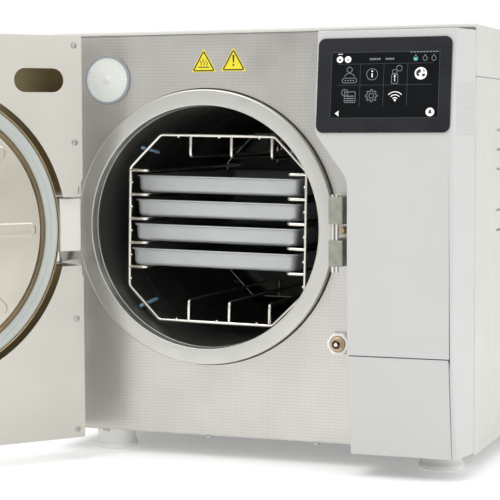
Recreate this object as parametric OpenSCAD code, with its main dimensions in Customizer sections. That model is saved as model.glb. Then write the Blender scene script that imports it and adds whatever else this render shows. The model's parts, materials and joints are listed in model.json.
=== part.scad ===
// Benchtop autoclave, shown with its door open.
// Every module is drawn about the chamber's axis, with the front plate's face at y = 0,
// +X to the right, -Y towards the person using it and +Z up. seat() moves it to the part's frame.

/* [Placement] */
// Chamber axis, to the right of the origin
axis_x = 39; // [37:0.5:41]
// Front plate's face, behind the origin
plate_y = -81; // [-83:0.5:-79]
// Chamber axis above the bench
axis_z = 241; // [241:0.5:241]

/* [Cabinet] */
// Left side of the cabinet
cab_left = -174; // [-176:0.5:-174]
// Right side of the cabinet
cab_right = 284; // [284:0.5:286]
// Top of the cabinet
cab_top = 202; // [202:0.5:204]
// Underside of the base pan
cab_base = -218; // [-218:0.5:-218]
// Depth of the cabinet behind the front plate
cab_depth = 480; // [480:1:500]
// Sheet thickness of the covers
sheet = 1.2; // [1:0.1:1.2]
// Thickness of the stainless front plate
plate_t = 1.5; // [1.2:0.1:1.5]
// Height at which the top cover meets the side panels
seam_z = 151.5; // [148:0.5:154]
// Heights of the louvre slots
louvre_z = [99.4, 79.4, 59.5, 17.4, -3.3];
// Height of a louvre slot
louvre_h = 2.4; // [2.2:0.1:3]

/* [Chamber] */
// Inside radius of the pressure vessel
bore_r = 125; // [124.5:0.1:125]
// Wall of the pressure vessel
vessel_t = 2; // [1.5:0.1:2.2]
// Inside depth of the vessel, from the front plate
vessel_depth = 350; // [345:1:352]
// Outer radius of the sealing ring
ring_r = 142; // [141:0.1:142]
// How far the sealing ring stands out of the front plate
ring_out = 8.8; // [8:0.1:8.8]

/* [Door] */
// Angle through which the door stands open
door_open = 127.9; // [110:0.1:130]
// Hinge axis, from the chamber's axis
pivot_x = -153.6; // [-154:0.1:-153]
pivot_y = -41.1; // [-42:0.1:-41]
// Hinge side edge of the closed door
door_left = -169; // [-169:0.1:-168]
// Free edge of the closed door
door_right = 166.5; // [165:0.1:166.5]
// Top and bottom edges of the door
door_top = 196.5; // [194:0.5:197]
door_bottom = -216.8; // [-217:0.1:-214]
// Gap between the closed door's liner and the front plate
liner_gap = 4; // [4:0.1:4.4]
// Front of the door's outer cover when closed
door_front = -56; // [-58:0.5:-55]
// Radius of the liner's opening
liner_r = 150; // [149:0.5:150]
// Radius of the closing disc
disc_r = 145; // [144:0.1:145]

/* [Column] */
// Top of the column
column_top = 196; // [195:0.5:197]
// Left face of the column's lower and upper parts
column_left = 170; // [170:0.5:171]
column_top_left = 137; // [137:0.5:138]
// Front face of the column
column_front = -56; // [-58:0.5:-55]
// Front of the column at its leaning top edge
column_lean = -43.5; // [-46:0.5:-43]
// Heights between which the column's left face slants
slant_low = 52; // [50:1:54]
slant_high = 97; // [95:1:99]
// Gap line between the column and its service flap
flap_z = -119; // [-120:0.5:-118]
// Wall of the column's mouldings
skin = 2.5; // [2.2:0.1:2.5]

/* [Tray rack] */
// Half the rack's width and half its height
rack_w = 99.2; // [98:0.1:99.2]
rack_h = 98.4; // [97:0.1:98.4]
// Middle of the rack, from the chamber's axis
rack_z = -4.2; // [-4.2:0.1:-3]
// Roll of the rack about the chamber's axis, as it has settled on its glides
rack_roll = 1.1; // [0:0.1:1.1]
// Corner cut of the rack's frames
rack_cut = 35; // [34:0.5:37]
// Front frame of the rack, behind the front plate
rack_y = 29.5; // [28:0.5:31]
// Length of the rack
rack_len = 285; // [270:1:290]
// Wire radius
wire_r = 1.9; // [1.6:0.1:1.9]
// Height of the lowest rail and the spacing of the rails
rail_low = -47.2; // [-47.2:0.1:-46.5]
rail_step = 25.8; // [25.6:0.1:26]
// Distance of the rails from the middle
rail_x = 79.5; // [77:0.5:79.5]

/* [Trays] */
// Width over the lips, length and height of a tray
tray_w = 188; // [186:0.5:188]
tray_len = 286; // [270:1:288]
tray_h = 18.5; // [16:0.5:19]
// Middle of the trays, towards the left of the rack
tray_x = -2.5; // [-2.5:0.1:0]
// Front of each tray behind the front plate, from the lowest up
tray_y = [23, 28.5, 32, 34];

/* [Hidden] */
$fn = 72;
hinge = [pivot_x, pivot_y, 0];
liner_y = -liner_gap;
liner_t = 1.5;
gasket_y = -ring_out - 0.4;
disc_back = -30;
beam_y = [-50, -36];
cab_floor = cab_base + plate_t;
inner_left = cab_left + sheet + 0.2;
inner_right = cab_right - sheet - 0.2;
rear_y = cab_depth - sheet;
vessel_r = bore_r + vessel_t;
jacket_r = [131.4, 148];
jacket_end = vessel_depth + 22;
rod_y_front = -33;
block_x = [145.6, 160.2];
rod_x = [148.6, 152.8];
claw_axis = [155.6, -47.5];
claw_swing = 15;
flap_axis = [-34, -212];
drain_at = [145.5, -114.8];
filter_at = [-110, 153];
fan_at = [-40, 35];
switch_at = [202, -160];
usb_at = [238, -160];
lid_axis = [134, 204.4];
steel = [0.72, 0.71, 0.68];
white = [0.91, 0.91, 0.9];
dark = [0.1, 0.1, 0.11];
brass = [0.75, 0.6, 0.36];
grey = [0.55, 0.56, 0.57];

// Placing
module seat() translate([axis_x, plate_y, axis_z]) children();
module rolled() seat() rotate([0, rack_roll, 0]) children();
module opened() seat() translate(hinge) rotate([0, 0, -door_open]) translate(-hinge) children();

// Shapes
module block(low, high) translate(low) cube(high - low);
module along_x(x, at, r) translate([x[0], at[0], at[1]]) rotate([0, 90, 0]) cylinder(h = x[1] - x[0], r = r);
module along_y(y, at, r) translate([at[0], y[0], at[1]]) rotate([-90, 0, 0]) cylinder(h = y[1] - y[0], r = r);
module along_z(z, at, r) translate([at[0], at[1], z[0]]) cylinder(h = z[1] - z[0], r = r);
module tube_y(y, at, r) difference() {
    along_y(y, at, r[1]);
    along_y([y[0] - 1, y[1] + 1], at, r[0]);
}
module front_slab(y) translate([0, y[1], 0]) rotate([90, 0, 0]) linear_extrude(y[1] - y[0]) children();
module side_slab(x) translate([x[0], 0, 0]) rotate([90, 0, 90]) linear_extrude(x[1] - x[0]) children();
module turned() rotate([-90, 0, 0]) rotate_extrude() children();
module between(a, b, r) {
    run = b - a;
    level = norm([run[0], run[1]]);
    translate(a) rotate([0, atan2(level, run[2]), atan2(run[1], run[0])]) cylinder(h = norm(run), r = r);
}
module path(points, r) {
    for (i = [1:len(points) - 1]) between(points[i - 1], points[i], r);
    for (i = [1:len(points) - 2]) translate(points[i]) sphere(r * 1.04);
}
module rounded(size, r) {
    square([size[0] - 2 * r, size[1]], center = true);
    square([size[0], size[1] - 2 * r], center = true);
    for (x = [-1, 1], z = [-1, 1])
        translate([x * (size[0] / 2 - r), z * (size[1] / 2 - r)]) circle(r);
}
function arc(centre, r, from, to, steps) = [
    for (i = [0:steps])
        centre + r * [cos(from + (to - from) * i / steps), sin(from + (to - from) * i / steps)]
];

// Cabinet
module pan_screw_places() for (x = [-119, 0, 118]) translate([x, 6.5, 0]) children();

module base_pan() seat() color(white) difference() {
    union() {
        block([inner_left, 3, cab_base], [inner_right, rear_y - 0.2, cab_floor]);
        block([inner_left, 20, cab_floor], [inner_left + sheet, rear_y - 0.2, cab_floor + 14]);
        block([inner_right - sheet, 20, cab_floor], [inner_right, rear_y - 0.2, cab_floor + 14]);
    }
    pan_screw_places() along_z([cab_base - 1, cab_floor + 1], [0, 0], 2);
}

module front_plate() seat() color(steel) difference() {
    union() {
        block([inner_left, 0, cab_floor + 0.1], [inner_right, plate_t, door_top + 1.5]);
        block([inner_left, plate_t, cab_floor + 0.1], [inner_right, 18, cab_floor + 1.4]);
    }
    pan_screw_places() along_z([cab_base, cab_floor + 3], [0, 0], 2);
    along_y([-1, 3], [0, 0], ring_r + 1.5);
    along_y([-1, 3], filter_at, 8.1);
    along_y([-1, 3], drain_at, 6.2);
    along_y([-1, 3], [225, 60], 14);
    block([switch_at[0] - 16, -1, switch_at[1] - 16], [usb_at[0] + 16, 3, usb_at[1] + 16]);
}

module plate_screws() seat() color(grey) pan_screw_places() {
    along_z([cab_base - 2.4, cab_base], [0, 0], 4);
    along_z([cab_base - 0.1, cab_floor + 4], [0, 0], 1.8);
}

module side_panel(x) difference() {
    block([x, 0, cab_base - 3], [x + sheet, cab_depth, seam_z - 0.4]);
    for (z = louvre_z, y = [94, 214]) 
        block([x - 1, y, z - louvre_h / 2], [x + sheet + 1, y + 110, z + louvre_h / 2]);
}
module left_side_panel() seat() color(white) side_panel(cab_left);
module right_side_panel() seat() color(white) side_panel(cab_right - sheet);

module top_cover() seat() color(white) difference() {
    union() {
        block([cab_left, 0, cab_top - sheet], [cab_right, cab_depth, cab_top]);
        block([cab_left, -3, cab_top - 3.6], [cab_right, 0, cab_top]);
        for (x = [cab_left, cab_right - sheet])
            block([x, 0, seam_z], [x + sheet, cab_depth, cab_top - sheet]);
    }
    block([178, 66, cab_top - 3], [256, 124, cab_top + 1]);
}

module rear_panel() seat() color(white) difference() {
    block([inner_left, rear_y, cab_floor], [inner_right, cab_depth, cab_top - sheet - 0.1]);
    for (i = [-4:4]) {
        tall = sqrt(pow(54, 2) - pow(i * 12, 2));
        block([fan_at[0] + i * 12 - 3, rear_y - 1, fan_at[1] - tall],
              [fan_at[0] + i * 12 + 3, cab_depth + 1, fan_at[1] + tall]);
    }
    block([224, rear_y - 1, -191], [256, cab_depth + 1, -165]);
}

foot_height = axis_z + cab_base;
foot_rim = 1.5;
foot_x = [-118.6, 242.6];
foot_y = [33, 430];
module feet() seat() color(white) for (x = foot_x, y = foot_y)
    translate([x, y, cab_base]) mirror([0, 0, 1]) rotate_extrude() polygon(concat(
        [[0, 0], [21, 0], [20, 5], [20, 9]],
        arc([23.5 - foot_rim * 4, foot_height - foot_rim * 4], foot_rim * 4, -15, 90, 7),
        [[0, foot_height]]));

// Chamber
dish = 22;
module chamber_vessel() seat() color(steel) turned() polygon(concat(
    [[bore_r, 6], [bore_r, vessel_depth - dish]],
    arc([bore_r - dish, vessel_depth - dish], dish, 0, 90, 8),
    [[0, vessel_depth], [0, vessel_depth + vessel_t]],
    arc([bore_r - dish, vessel_depth - dish], dish + vessel_t, 90, 0, 8),
    [[vessel_r, 6]]));

module sealing_ring() seat() color(steel) turned() polygon([
    [bore_r, -ring_out + 0.8], [bore_r + 0.8, -ring_out], [ring_r - 4, -ring_out],
    [ring_r, -ring_out + 4], [ring_r, 6], [bore_r, 6]
]);

module heater_bands() seat() color([0.45, 0.35, 0.3])
    for (y = [70, 180, 285]) tube_y([y, y + 32], [0, 0], [vessel_r, vessel_r + 3.6]);

module insulation_jacket() seat() color([0.8, 0.76, 0.62]) difference() {
    turned() polygon([
        [jacket_r[0], 12], [jacket_r[1], 12], [jacket_r[1], jacket_end], [0, jacket_end],
        [0, vessel_depth + 6], [jacket_r[0], vessel_depth + 6]
    ]);
    along_z([0, 160], [0, 235], 12);
    along_x([100, 160], [235, 40], 8);
}

module chamber_cradles() seat() color(grey) for (y = [66, 298]) difference() {
    block([-118, y, cab_floor], [118, y + 5, -100]);
    along_y([y - 1, y + 6], [0, 0], jacket_r[1]);
}

module safety_valve() seat() color(brass) {
    along_z([vessel_r + 0.4, 168], [0, 235], 9);
    along_z([168, 176], [0, 235], 14, $fn = 6);
    along_z([176, 190], [0, 235], 8);
}

// Fixed half of the hinge
module hinge_bracket() seat() color(white) difference() {
    union() {
        block([-168, -5.2, -36.6], [-147.2, 0, 30]);
        block([-160, pivot_y, -36.6], [-147.2, -5.2, -24.5]);
        along_z([-36.6, -24.5], [pivot_x, pivot_y], 9);
    }
    along_z([-40, -20], [pivot_x, pivot_y], 6);
}

module hinge_pin() seat() color(grey) {
    along_z([-36.6, 30], [pivot_x, pivot_y], 6);
    along_z([-39, -36.6], [pivot_x, pivot_y], 7.5);
}

// Latch beside the chamber's mouth
module latch_blocks() seat() color([0.52, 0.52, 0.46]) for (z = [[7.2, 34.4], [-34.4, -8.4]]) difference() {
    block([block_x[0], -38, z[0]], [block_x[1], 0, z[1]]);
    for (x = rod_x) along_z([z[0] - 1, z[1] + 1], [x, rod_y_front], 1.95);
}
module latch_rods() seat() color(steel) for (x = rod_x) along_z([-40.5, 36.5], [x, rod_y_front], 1.9);
module door_sensor() seat() color(brass) {
    along_y([-7, 0], [149.5, -0.5], 3);
    along_y([-3, 0], [149.5, -0.5], 4.6, $fn = 6);
}

// Drain coupling
module drain_nut() seat() color(white) difference() {
    along_y([-8, 0], drain_at, 12.2, $fn = 6);
    along_y([-9, 1], drain_at, 8);
}
module drain_barrel() seat() color(brass) difference() {
    union() {
        along_y([-9, 0], drain_at, 7.6);
        along_y([-13, -9], drain_at, 6);
        along_y([0, 16], drain_at, 6);
    }
    along_y([-14, -2], drain_at, 4.4);
    along_y([-3, 10], drain_at, 2.05);
}
module drain_pin() seat() color(steel) along_y([-14.5, 5], drain_at, 2);

// Air filter
module bio_filter() seat() color([0.93, 0.94, 0.95]) {
    along_y([-2.4, -0.6], filter_at, 25.8);
    along_y([-0.6, 24], filter_at, 8);
}

// Column on the right of the front, which slopes back to its toe below the flap's upper edge
column_low = cab_base - 0.4;
toe_y = -42;
module column_outline(inset) polygon([
    [column_top_left + inset, column_top - inset],
    [cab_right, column_top - inset],
    [cab_right, column_low],
    [column_left + inset, column_low],
    [column_left + inset, slant_low - inset * 0.3],
    [column_top_left + inset, slant_high - inset * 0.3]
]);
lean_top = cab_top + 1;
module column_side(inset) polygon([
    [-0.4, column_low], [-0.4, lean_top], [column_lean + inset, lean_top],
    [column_front + inset, slant_high], [column_front + inset, flap_z], [toe_y + inset, column_low]
]);
strip_x = 275;
module column_plan(inset) polygon(concat(
    [[column_top_left - 20, -0.4], [column_top_left - 20, column_front - 1 + inset]],
    arc([strip_x - 4 - inset * 0.6, column_front + 4 + inset * 0.4], 4 - inset * 0.4, -90, -9, 5),
    [[cab_right - 0.1 - inset, -0.4]]));
module column_bulk(inset) intersection() {
    front_slab([-70, 0]) column_outline(inset);
    side_slab([120, 300]) column_side(inset);
    translate([0, 0, -230]) linear_extrude(450) column_plan(inset);
}
lean_angle = atan2(column_lean - column_front, lean_top - slant_high);
module on_lean() translate([(column_top_left + strip_x) / 2 - 0.5, column_front, slant_high])
    rotate([-lean_angle, 0, 0]) translate([0, 0, 46]) children();

module column_fascia() seat() color(white) difference() {
    column_bulk(0);
    difference() {
        column_bulk(skin);
        block([column_left, -60, flap_z], [strip_x, 0, flap_z + skin]);
    }
    block([100, -60, cab_base - 5], [strip_x - 3, 1, flap_z]);
    on_lean() block([-60, -8, -38], [60, 8, 38]);
}

bezel_w = 133;
bezel_h = 92;
module display_bezel() seat() color(dark) on_lean()
    front_slab([-1.8, 0]) rounded([bezel_w, bezel_h], 7);
module display_module() seat() color(grey) on_lean() {
    block([-58, 0, -36], [58, 6, 36]);
    block([-40, 6, -28], [40, 10, 28]);
}

module control_board() seat() color([0.1, 0.35, 0.2]) {
    block([178, -24, -90], [268, -22.4, 60]);
    for (z = [-80, -45, -10, 25]) block([190, -32, z], [214, -24, z + 20]);
    for (x = [182, 264], z = [-86, 56]) along_y([-22.4, 0], [x, z], 3);
}

// Service bay behind the flap
module service_panel() seat() color(grey) difference() {
    block([182, -4, -200], [258, 0, -126]);
    for (at = [switch_at, usb_at]) block([at[0] - 13, -5, at[1] - 13], [at[0] + 13, 1, at[1] + 13]);
}
rocker_y = 3;
module power_switch() seat() color(dark) translate([switch_at[0], rocker_y, switch_at[1]])
    rotate([-10, 0, 0]) {
        block([-9, -10, -9.8], [9, -4, 9.8]);
        block([-3, -4, -2], [3, 1, 2]);
        along_x([-11, 11], [0, 0], 1.5);
    }
module usb_port() seat() color(grey) {
    difference() {
        block([usb_at[0] - 13, -5.2, usb_at[1] - 13], [usb_at[0] + 13, 16, usb_at[1] + 13]);
        block([usb_at[0] - 6.5, -6, usb_at[1] - 2.8], [usb_at[0] + 6.5, 12, usb_at[1] + 2.8]);
    }
    block([usb_at[0] - 5.6, -3, usb_at[1] - 0.2], [usb_at[0] + 5.6, 12, usb_at[1] + 2]);
    difference() {
        block([switch_at[0] - 13, -5.2, switch_at[1] - 13], [switch_at[0] + 13, 16, switch_at[1] + 13]);
        block([switch_at[0] - 9.5, -6, switch_at[1] - 12], [switch_at[0] + 9.5, 8, switch_at[1] + 12]);
        along_x([switch_at[0] - 11.4, switch_at[0] + 11.4], [rocker_y, switch_at[1]], 1.55);
    }
}
module flap_brackets() seat() color(grey) {
    for (x = [178, 258]) {
        block([x, flap_axis[0], flap_axis[1] - 4], [x + 4, 0, flap_axis[1] + 4]);
        along_x([x, x + 4], flap_axis, 4);
    }
    along_x([173.4, 178], flap_axis, 2.5);
    along_x([262, 269], flap_axis, 2.5);
}
flap_reach = 92.2;
module flap_side(inset) polygon([
    [-0.8, column_low], [-0.8, flap_z - 0.8], [column_front + inset, flap_z - 0.8],
    [toe_y + inset, column_low]
]);
module service_flap() seat() color(white) {
    flap_right = strip_x - 3.4;
    difference() {
        side_slab([column_left, flap_right]) flap_side(0);
        side_slab([column_left + skin, flap_right + 1]) flap_side(skin);
        side_slab([column_left - 1, column_left + skin + 1]) difference() {
            translate([flap_axis[0], cab_base]) square([60, 120]);
            translate([flap_axis[0], flap_axis[1]]) circle(flap_reach);
        }
    }
    for (x = [[column_left + skin, 176.5], [263, 266]]) difference() {
        union() {
            along_x(x, flap_axis, 4.4);
            block([x[0], -40.5, flap_axis[1] - 4.2], [x[1], flap_axis[0] - 2.6, flap_axis[1] + 4.4]);
        }
        along_x([x[0] - 1, x[1] + 1], flap_axis, 2.55);
    }
}

// Water and steam
module open_tank(low, high, wall) difference() {
    block(low, high);
    block(low + [wall, wall, wall], high - [wall, wall, wall]);
    children();
}
module clean_water_tank() seat() color([0.75, 0.85, 0.95]) {
    open_tank([156, 30, 62], [279, 330, 190], 3) block([180, 68, 180], [254, 122, 200]);
    difference() {
        block([179, 67, 190], [255, 123, cab_top - sheet - 0.4]);
        block([182, 70, 189], [252, 120, cab_top]);
    }
}
module waste_water_tank() seat() color([0.7, 0.72, 0.75])
    open_tank([156, 350, cab_floor], [279, 452, 30], 3) along_z([20, 40], [220, 400], 12);

module steam_generator() seat() color(steel) {
    along_z([cab_floor + 4, -24], [215, 240], 34);
    along_z([cab_floor, cab_floor + 4], [215, 240], 42);
    along_z([-24, -16], [215, 240], 40);
    for (a = [0:60:300])
        along_z([-16, -11], [215 + 34 * cos(a), 240 + 34 * sin(a)], 4);
    path([[215, 240, -16], [215, 240, 40], [190, 235, 40], [vessel_r - 4.4, 235, 40]], 4);
}

module vacuum_pump() seat() color([0.3, 0.32, 0.34]) {
    along_x([-140, -42], [428, -165], 38);
    block([-42, 392, -206], [24, 462, -126]);
    for (x = [-132, -60, -36, 18]) along_z([cab_floor, -190], [x, 428], 9);
    for (z = [-190, -166, -142]) block([24, 400, z], [28, 454, z + 10]);
}

module water_pump() seat() color([0.2, 0.22, 0.25]) {
    along_y([70, 130], [196, -186], 20);
    block([170, 44, cab_floor], [222, 70, -160]);
    block([180, 76, cab_floor], [212, 124, -204]);
}

module condenser() seat() color([0.75, 0.76, 0.78]) {
    for (x = [-98:6:18]) block([x, 388, -25], [x + 0.8, 436, 95]);
    for (y = [400, 424], z = [-10:30:80]) along_x([-104, 24], [y, z], 3.5);
}

module valve_manifold() seat() color(brass) {
    block([160, 296, -120], [270, 326, -92]);
    for (x = [176, 200, 224, 248]) {
        along_z([-92, -60], [x, 311], 9);
        along_z([-132, -120], [x, 311], 5);
    }
    block([160, 326, cab_floor], [270, 330, -92]);
}

module power_supply() seat() color(grey) {
    block([162, 40, -40], [272, 150, 30]);
    block([160, 30, -46], [inner_right, 180, -40]);
    block([160, 174, -40], [inner_right, 180, -28]);
}

// Cooling fan
module fan_housing() seat() color(dark) {
    difference() {
        block([fan_at[0] - 60, rear_y - 26, fan_at[1] - 60], [fan_at[0] + 60, rear_y, fan_at[1] + 60]);
        along_y([rear_y - 27, rear_y + 1], fan_at, 57);
    }
    along_y([rear_y - 5, rear_y], fan_at, 17);
    for (a = [45:90:315]) translate([fan_at[0], rear_y - 5, fan_at[1]]) rotate([0, a, 0])
        block([16, 0, -3], [57.5, 4, 3]);
    along_y([rear_y - 22, rear_y - 5], fan_at, 2);
}
module fan_rotor() seat() color([0.16, 0.16, 0.17]) difference() {
    union() {
        along_y([rear_y - 24, rear_y - 6], fan_at, 18);
        for (a = [0:360 / 7:359]) translate([fan_at[0], rear_y - 15, fan_at[1]]) rotate([0, a, 0])
            rotate([38, 0, 0]) block([16, -9, -1], [54, 9, 1]);
    }
    along_y([rear_y - 22.5, rear_y - 5], fan_at, 2.06);
}

module power_inlet() seat() color(dark) {
    difference() {
        block([224.3, rear_y - 22, -190.7], [255.7, cab_depth + 2.5, -165.3]);
        block([228, rear_y - 16, -187], [252, cab_depth + 3, -169]);
    }
    for (x = [233, 240, 247]) block([x - 1, rear_y - 17, -180], [x + 1, cab_depth, -174]);
}

// Filling lid in the top cover
module lid_hinge() seat() color(grey) {
    for (x = [176, 252]) {
        block([x, lid_axis[0] - 3, cab_top], [x + 6, lid_axis[0] + 4, lid_axis[1]]);
        along_x([x, x + 6], lid_axis, 2.3);
    }
    along_x([180, 254], lid_axis, 1.5);
}
module fill_lid() seat() color(white) difference() {
    union() {
        block([170, 58, cab_top + 0.4], [264, lid_axis[0] - 4, cab_top + 4]);
        along_x([182.6, 251.4], lid_axis, 2.2);
        block([184, lid_axis[0] - 5, lid_axis[1] - 1.2], [250, lid_axis[0], lid_axis[1] + 1.2]);
        block([183.5, 71.5, cab_top - 4], [250.5, 118.5, cab_top + 0.4]);
    }
    along_x([180, 254], lid_axis, 1.55);
    block([185.5, 73.5, cab_top - 5], [248.5, 116.5, cab_top + 2]);
}

// Door, drawn closed and then swung open
slant_gap = 3.5;
module door_outline(inset) polygon([
    [door_left + inset, door_bottom + inset],
    [door_right - inset, door_bottom + inset],
    [door_right - inset, slant_low - 1 - inset * 0.3],
    [column_top_left - slant_gap - inset, slant_high - 1 - inset * 0.3],
    [column_top_left - slant_gap - inset, door_top - inset],
    [door_left + inset, door_top - inset]
]);
notch_high = 32;
notch_low = -38.5;
notch_end = 51;
upper_corner = -158;
lower_corner = -163;
module hinge_notch() polygon([
    [door_left - 9, notch_end], [door_left - 0.1, notch_end], [upper_corner, notch_high],
    [-138, notch_high], [-138, notch_low], [lower_corner, notch_low],
    [door_left - 0.1, -notch_end], [door_left - 9, -notch_end]
]);
// Stepped corners of the liner beside the hinge, which clear the sealing ring as the door swings
step_y = -9.5;
module stepped_corner(inner, level, end) {
    front_slab([step_y, step_y + liner_t]) polygon([
        [door_left + 0.1, level], [inner + 1, level], [door_left + 0.1, end]
    ]);
    front_slab([step_y, liner_y]) polygon([
        [inner, level], [inner + 1.6, level], [-164.4, level + (end - level) * 0.75],
        [-166, level + (end - level) * 0.75]
    ]);
}
module latch_notch() translate([130, -39]) square([33.5, 77.5]);

notch_y = -13;
module door_shell() opened() color(white) difference() {
    front_slab([door_front, liner_y - liner_t - 0.1]) door_outline(0);
    front_slab([door_front + skin, 1]) door_outline(skin);
    front_slab([notch_y, 1]) hinge_notch();
    block([door_left - 1, door_front - 1, notch_low], [-138, notch_y + 1, notch_high]);
}

screw_rows = [187, 88, -93, -208];
function free_side(z) = z > slant_high ? 124 : z > slant_low ? 131 : 156.5;
module liner_screw_places() for (z = screw_rows, x = [-160.2, free_side(z)]) translate([x, 0, z]) children();
slot_z = 151;
module door_liner() opened() color(steel) {
    difference() {
        front_slab([liner_y - liner_t, liner_y]) door_outline(0);
        liner_screw_places() along_y([-10, 1], [0, 0], 1.5);
        front_slab([-10, 1]) hinge_notch();
        front_slab([-10, 1]) latch_notch();
        along_y([-10, 1], [0, 0], liner_r);
        along_y([-10, 1], drain_at, 16);
        front_slab([-10, 1]) translate([-121.2, slot_z]) rounded([54, 24], 11.9);
    }
    stepped_corner(upper_corner, notch_high, notch_end);
    stepped_corner(lower_corner, notch_low, -notch_end);
}

module liner_screws() opened() color(grey) liner_screw_places() {
    along_y([liner_y, liner_y + 1.4], [0, 0], 3.4);
    along_y([liner_y - liner_t, liner_y], [0, 0], 1.5);
}

module door_disc() opened() color(steel) {
    turned() polygon([
        [0, disc_back], [disc_r, disc_back], [disc_r, gasket_y + 0.4],
        [disc_r - 0.8, gasket_y - 0.1], [disc_r - 1.2, gasket_y - 0.1],
        [disc_r - 1.2, -15], [0, -15]
    ]);
    along_y([beam_y[1], disc_back], [0, 0], 40);
}
inner_r = [122.5, 129.3];
module inner_plate() opened() color(steel) turned() polygon([
    [0, -15], [inner_r[1], -15], [inner_r[1], -12], [inner_r[0], -8], [0, -8]
]);
module door_gasket() opened() color([0.8, 0.86, 0.88]) turned() polygon(concat(
    [[130, -15], [143.6, -15], [143.6, gasket_y - 1.5]],
    arc([141.6, gasket_y - 2], 2, 15, 90, 4),
    [[133, gasket_y], [130.6, gasket_y - 2.4], [130, gasket_y - 3]]));

module door_arm() opened() color(white) difference() {
    union() {
        block([-169.5, -52, -24], [-145.3, -10, 31]);
        block([-150, beam_y[0], -22], [144, beam_y[1], 29]);
        for (z = [[4.6, 10], [-12, -6.6]]) block([144, -53, z[0]], [162.5, -41, z[1]]);
        block([138, -53, -12], [144, -41, 10]);
        along_z([-12, 10], claw_axis, 2);
    }
    along_z([-25, 32], [pivot_x, pivot_y], 6.06);
}

// Claw that catches the right latch rod, drawn latched and turned back to its resting place
module lock_claw() opened() color(grey)
    translate([claw_axis[0], claw_axis[1], 0]) rotate([0, 0, -claw_swing]) difference() {
        union() {
            along_z([-6, 4], [0, 0], 4.5);
            block([-0.3, 0, -6], [2.4, 20.6, 4]);
            block([-4.2, 17.2, -6], [2.4, 20.6, 4]);
        }
        along_z([-7, 5], [0, 0], 2.05);
    }

// Tray rack
rack_end = rack_y + rack_len;
function octagon(y) = [
    for (p = [[-1, -1, 0], [-1, -1, 1], [-1, 1, 1], [-1, 1, 0], [1, 1, 0], [1, 1, 1], [1, -1, 1], [1, -1, 0]])
        [p[0] * (rack_w - rack_cut * (1 - p[2])), y, rack_z + p[1] * (rack_h - rack_cut * p[2])]
];
module wire_loop(points) for (i = [0:7]) {
    a = points[i];
    b = points[(i + 1) % 8];
    past = 0.8 * (b - a) / norm(b - a);
    between(a - past, b + past, wire_r);
}
module rack_frames() rolled() color(steel) {
    wire_loop(octagon(rack_y));
    wire_loop(octagon(rack_end));
}
module bent_rail(root, tip) {
    path([
        [root[0], rack_y, root[1]], [tip[0], rack_y, tip[1]],
        [tip[0], rack_end, tip[1]], [root[0], rack_end, root[1]]
    ], wire_r);
}
cassette_x = [-30, 16, 61];
module rack_rails() rolled() color(steel) {
    for (i = [0:4], s = [-1, 1])
        bent_rail([s * (rack_w - wire_r), rail_low + i * rail_step], [s * rail_x, rail_low + i * rail_step]);
    for (x = cassette_x, s = [-1, 1])
        bent_rail([x, rack_z + s * (rack_h - wire_r)], [x, rack_z + s * (rack_h - 22)]);
}
// Plastic glides across the corners, further out at the end that meets the chamber's wall
glide_out = [119.4, 112.4];
glide_y = [2, 28];
glide_r = 2;
module rack_glides() rolled() color([0.55, 0.68, 0.78])
    for (a = [45:90:315], end = [[rack_y, 1], [rack_end, -1]])
        between([glide_out[0] * cos(a), end[0] - end[1] * glide_y[0], rack_z + glide_out[0] * sin(a)],
                [glide_out[1] * cos(a), end[0] + end[1] * glide_y[1], rack_z + glide_out[1] * sin(a)],
                glide_r);

// Trays, counted from the lowest
lip = 3;
module tray(i) {
    low = rail_low + i * rail_step + wire_r + 0.4;
    half = tray_w / 2 - lip;
    back = tray_y[i] + tray_len;
    rolled() translate([tray_x, 0, 0]) color([0.78, 0.81, 0.84]) difference() {
        union() {
            block([-half, tray_y[i] + lip, low], [half, back - lip, low + tray_h]);
            block([-half - lip, tray_y[i], low + tray_h - 1.2], [half + lip, back, low + tray_h]);
        }
        block([sheet - half, tray_y[i] + lip + sheet, low + sheet],
              [half - sheet, back - lip - sheet, low + tray_h + 1]);
    }
}
module tray_1() tray(0);
module tray_2() tray(1);
module tray_3() tray(2);
module tray_4() tray(3);

base_pan();
front_plate();
plate_screws();
left_side_panel();
right_side_panel();
top_cover();
rear_panel();
feet();
chamber_vessel();
sealing_ring();
heater_bands();
insulation_jacket();
chamber_cradles();
hinge_bracket();
hinge_pin();
latch_blocks();
latch_rods();
door_sensor();
drain_nut();
drain_barrel();
drain_pin();
bio_filter();
column_fascia();
display_bezel();
display_module();
control_board();
service_panel();
power_switch();
usb_port();
flap_brackets();
service_flap();
clean_water_tank();
waste_water_tank();
steam_generator();
vacuum_pump();
water_pump();
condenser();
valve_manifold();
safety_valve();
power_supply();
fan_housing();
fan_rotor();
power_inlet();
lid_hinge();
fill_lid();
door_shell();
door_liner();
liner_screws();
door_disc();
inner_plate();
door_gasket();
door_arm();
lock_claw();
rack_frames();
rack_rails();
rack_glides();
tray_1();
tray_2();
tray_3();
tray_4();
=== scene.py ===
"""Looks for the benchtop autoclave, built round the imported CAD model. Lengths are metres where not said."""
import json
from math import ceil, cos, hypot, pi, radians, sin, sqrt, tan

import bmesh
import bpy
from mathutils import Matrix, Vector


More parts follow.
